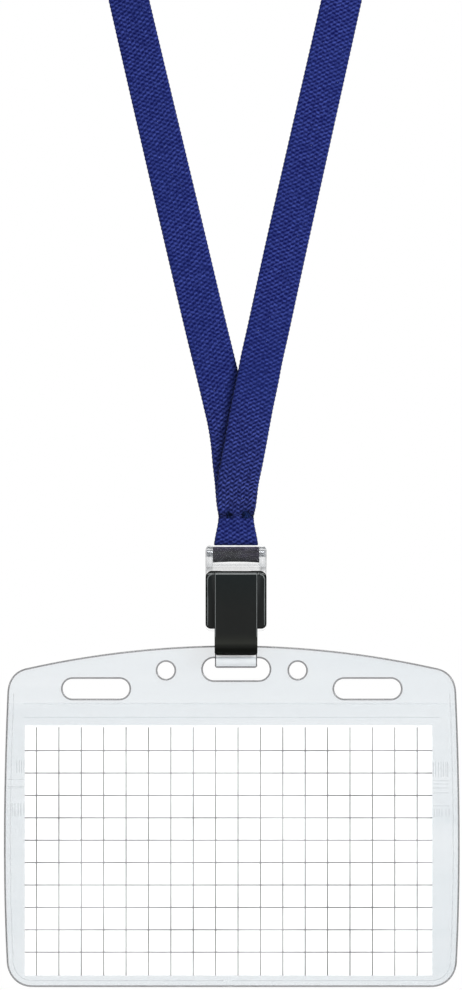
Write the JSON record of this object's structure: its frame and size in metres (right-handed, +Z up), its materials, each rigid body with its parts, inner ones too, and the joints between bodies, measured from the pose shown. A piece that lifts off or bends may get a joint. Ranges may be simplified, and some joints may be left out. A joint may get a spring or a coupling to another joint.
{
  "type": "lanyard badge holder",
  "caption": "Neck strap of flat webbing with a clear lever clip that hooks through the slot of a clear vinyl card holder.",
  "frame": {"origin": "middle of the strap's inner face at the nape of the neck, where the wearer carries it", "axes": "+Z up, +Y towards the wearer's back, so the badge faces -Y; +X to the viewer's right"},
  "size_m": [0.1222, 0.1194, 0.4483],
  "materials": {
    "webbing": "matte royal blue knitted flat webbing",
    "thread": "dark blue sewing thread",
    "grey_sleeve": "dark grey coated tape",
    "steel": "plain steel wire",
    "clear_plastic": "clear moulded polycarbonate",
    "black_plastic": "satin black moulded plastic",
    "clear_vinyl": "soft clear vinyl with a faint blue tint",
    "card": "white card with a thin grey grid at 5 mm"
  },
  "bodies": {
    "strap": {"neck_strap": "webbing", "strap_end_loop": "webbing", "bar_tack": "thread", "strap_sleeve": "grey_sleeve"},
    "clip": {"clip_body": "clear_plastic", "strap_pin": "steel", "lever_hinge_pin": "steel"},
    "lever": {"clip_lever": "black_plastic"},
    "holder": {"holder_front_sheet": "clear_vinyl", "holder_back_sheet": "clear_vinyl"},
    "card": {"insert_card": "card"}
  },
  "joints": [
    {"name": "clip_swing", "type": "hinge", "parent": "strap", "child": "clip", "pos_m": [0, -0.11355, -0.34685], "axis": [1, 0, 0], "range_deg": [-20, 20]},
    {"name": "lever_flip", "type": "hinge", "parent": "clip", "child": "lever", "pos_m": [0, -0.11625, -0.353], "axis": [-1, 0, 0], "range_deg": [0, 60]},
    {"name": "holder_swing", "type": "hinge", "parent": "clip", "child": "holder", "pos_m": [0, -0.11355, -0.3702], "axis": [1, 0, 0], "range_deg": [-22, 22]},
    {"name": "card_slide", "type": "slide", "parent": "holder", "child": "card", "axis": [0, 0, 1], "range_m": [0, 0.012]}
  ]
}
